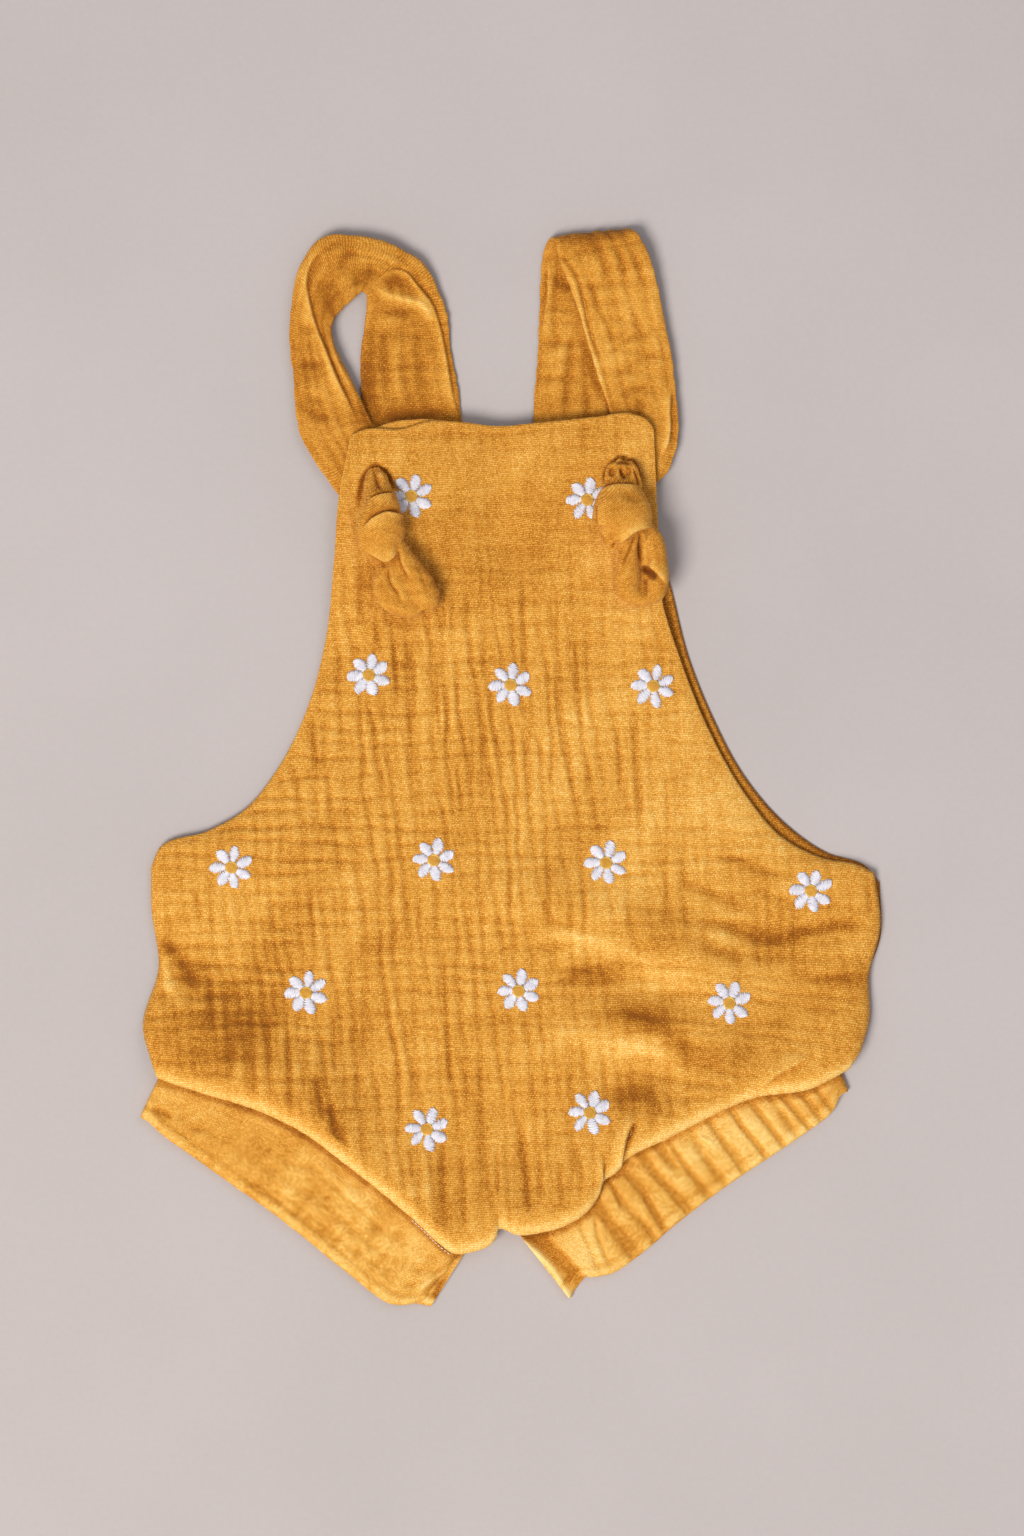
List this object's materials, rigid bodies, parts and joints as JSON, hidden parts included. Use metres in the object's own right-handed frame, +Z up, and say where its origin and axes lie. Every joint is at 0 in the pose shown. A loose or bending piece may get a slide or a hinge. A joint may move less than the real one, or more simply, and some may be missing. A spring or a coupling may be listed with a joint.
{
  "type": "baby romper",
  "caption": "Baby dungaree romper in crinkled mustard double gauze with embroidered daisies, laid flat on its back, its straps knotted through the bib.",
  "frame": {"origin": "middle of the garment's outline, on the surface that it lies on", "axes": "+X to the viewer's right as seen from above, +Y towards the straps, +Z up out of the front panel"},
  "size_m": [0.3111, 0.4518, 0.0237],
  "materials": {
    "gauze_body": "crinkled double gauze cotton, matt, mustard",
    "gauze_strap": "crinkled double gauze cotton, matt, mustard, sewn as a tube",
    "gauze_band": "crinkled double gauze cotton, matt, mustard, folded double"
  },
  "bodies": {
    "root": {"front_panel": "gauze_body", "back_panel": "gauze_body", "bib_facing": "gauze_body", "strap_left": "gauze_strap", "strap_right": "gauze_strap", "knot_left": "gauze_strap", "knot_right": "gauze_strap", "tail_left": "gauze_strap", "tail_right": "gauze_strap", "leg_band_left": "gauze_band", "leg_band_right": "gauze_band"}
  },
  "joints": []
}
